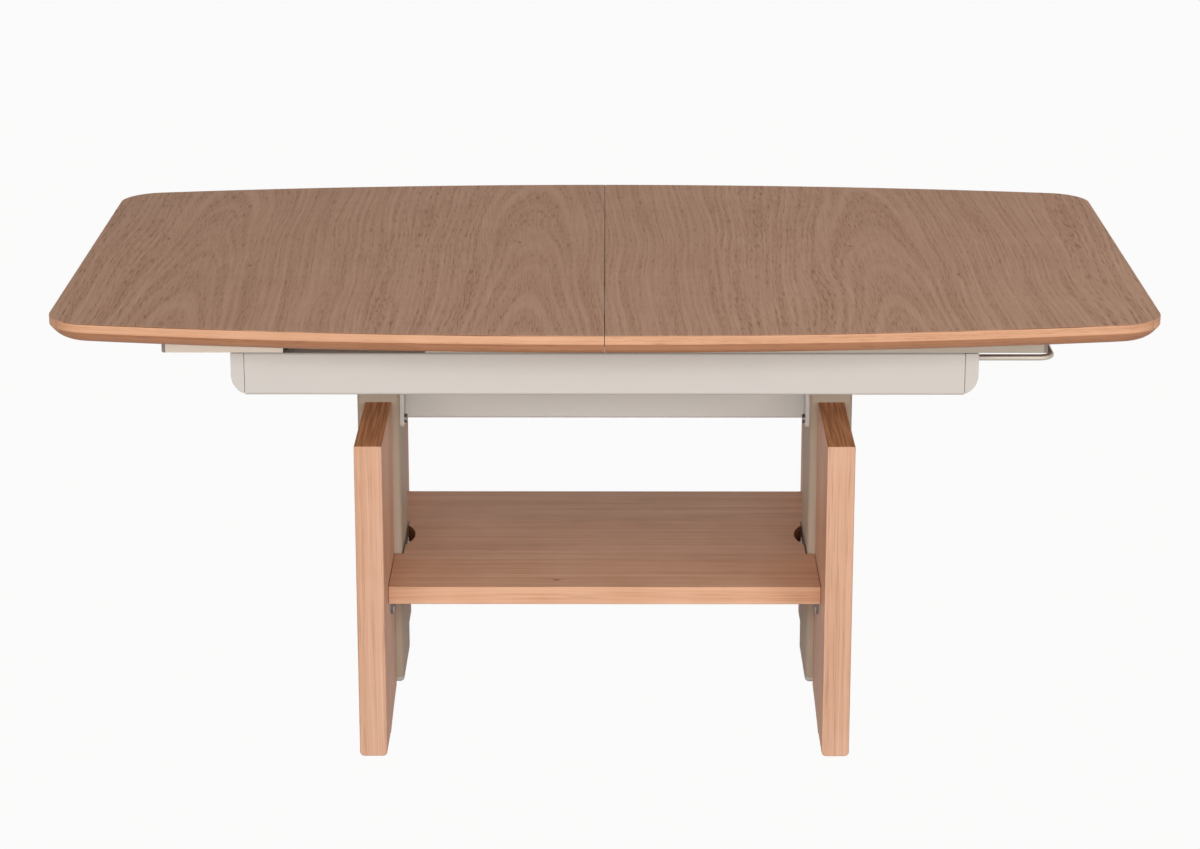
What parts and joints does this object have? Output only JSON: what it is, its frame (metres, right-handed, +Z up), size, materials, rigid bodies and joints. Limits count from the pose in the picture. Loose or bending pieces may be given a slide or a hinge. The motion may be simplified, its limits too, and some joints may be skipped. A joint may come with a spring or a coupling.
{
  "type": "convertible coffee dining table",
  "caption": "Boat-shaped wooden coffee table that lifts on telescopic columns to dining height; its top halves slide apart, with a shelf between the legs.",
  "frame": {"origin": "on the floor under the middle of the table top, at the seam, with the table lowered and closed", "axes": "+X along the table towards the end with the release bail, +Y to the back, +Z up"},
  "size_m": [1.2, 0.75, 0.53],
  "materials": {
    "oak_veneer": "oiled oak veneer, grain across the table",
    "oak_solid": "oiled solid oak",
    "core_board": "veneered particle board",
    "beech_dowel": "turned beech",
    "grey_lacquer": "satin powder coat",
    "grey_cap_plastic": "moulded, satin",
    "guide_plastic": "moulded acetal",
    "runner_aluminium": "anodised",
    "inner_column_steel": "satin powder coat",
    "zinc_steel": "zinc plated",
    "chrome_rod": "bright chrome",
    "black_cylinder": "gloss black paint",
    "foot_plastic": "hard nylon",
    "buffer_rubber": "matt"
  },
  "bodies": {
    "base": {"left_front_board": "oak_solid", "right_front_board": "oak_solid", "left_rear_board": "oak_solid", "right_rear_board": "oak_solid", "left_column": "grey_lacquer", "right_column": "grey_lacquer", "left_column_plug": "grey_cap_plastic", "right_column_plug": "grey_cap_plastic", "left_guide_collar": "guide_plastic", "right_guide_collar": "guide_plastic", "left_gas_cylinder": "black_cylinder", "right_gas_cylinder": "black_cylinder", "crossbeam": "grey_lacquer", "shelf": "oak_solid", "foot_glides": "foot_plastic", "stop_buffers": "buffer_rubber", "shelf_brackets": "zinc_steel", "board_screws": "zinc_steel", "crossbeam_bolts": "zinc_steel", "bracket_screws": "zinc_steel"},
    "lift_frame": {"front_beam": "grey_lacquer", "rear_beam": "grey_lacquer", "front_left_beam_cap": "grey_cap_plastic", "front_right_beam_cap": "grey_cap_plastic", "rear_left_beam_cap": "grey_cap_plastic", "rear_right_beam_cap": "grey_cap_plastic", "left_inner_column": "inner_column_steel", "right_inner_column": "inner_column_steel", "left_slider": "guide_plastic", "right_slider": "guide_plastic", "left_head_plate": "grey_lacquer", "right_head_plate": "grey_lacquer", "left_gas_rod": "chrome_rod", "right_gas_rod": "chrome_rod", "left_runner_glides": "guide_plastic", "right_runner_glides": "guide_plastic", "head_plate_bolts": "zinc_steel", "rod_nuts": "zinc_steel", "glide_screws": "zinc_steel", "bail_brackets": "grey_lacquer", "bail_pivots": "zinc_steel"},
    "left_half": {"left_veneer": "oak_veneer", "left_core": "core_board", "left_lipping": "oak_solid", "left_front_runner": "runner_aluminium", "left_rear_runner": "runner_aluminium", "left_support_bar": "runner_aluminium", "left_runner_caps": "grey_cap_plastic", "left_runner_screws": "zinc_steel", "alignment_dowels": "beech_dowel"},
    "right_half": {"right_veneer": "oak_veneer", "right_core": "core_board", "right_lipping": "oak_solid", "right_front_runner": "runner_aluminium", "right_rear_runner": "runner_aluminium", "right_support_bar": "runner_aluminium", "right_runner_caps": "grey_cap_plastic", "right_runner_screws": "zinc_steel"},
    "bail": {"release_bail": "chrome_rod"},
    "pin": {"release_pin": "zinc_steel"}
  },
  "joints": [
    {"name": "lift_slide", "type": "slide", "parent": "base", "child": "lift_frame", "axis": [0, 0, 1], "range_m": [0, 0.21]},
    {"name": "left_half_slide", "type": "slide", "parent": "lift_frame", "child": "left_half", "axis": [-1, 0, 0], "range_m": [0, 0.24]},
    {"name": "right_half_slide", "type": "slide", "parent": "lift_frame", "child": "right_half", "axis": [1, 0, 0], "range_m": [0, 0.24]},
    {"name": "bail_hinge", "type": "hinge", "parent": "lift_frame", "child": "bail", "pos_m": [0.29, 0, 0.4565], "axis": [0, -1, 0], "range_deg": [0, 5]},
    {"name": "release_pin_slide", "type": "slide", "parent": "lift_frame", "child": "pin", "axis": [0, 0, -1], "range_m": [0, 0.0026], "stiffness_N_per_m": 800}
  ],
  "couplings": [
    {"joint": "release_pin_slide", "follows": "bail_hinge", "m_per_rad": 0.028}
  ]
}
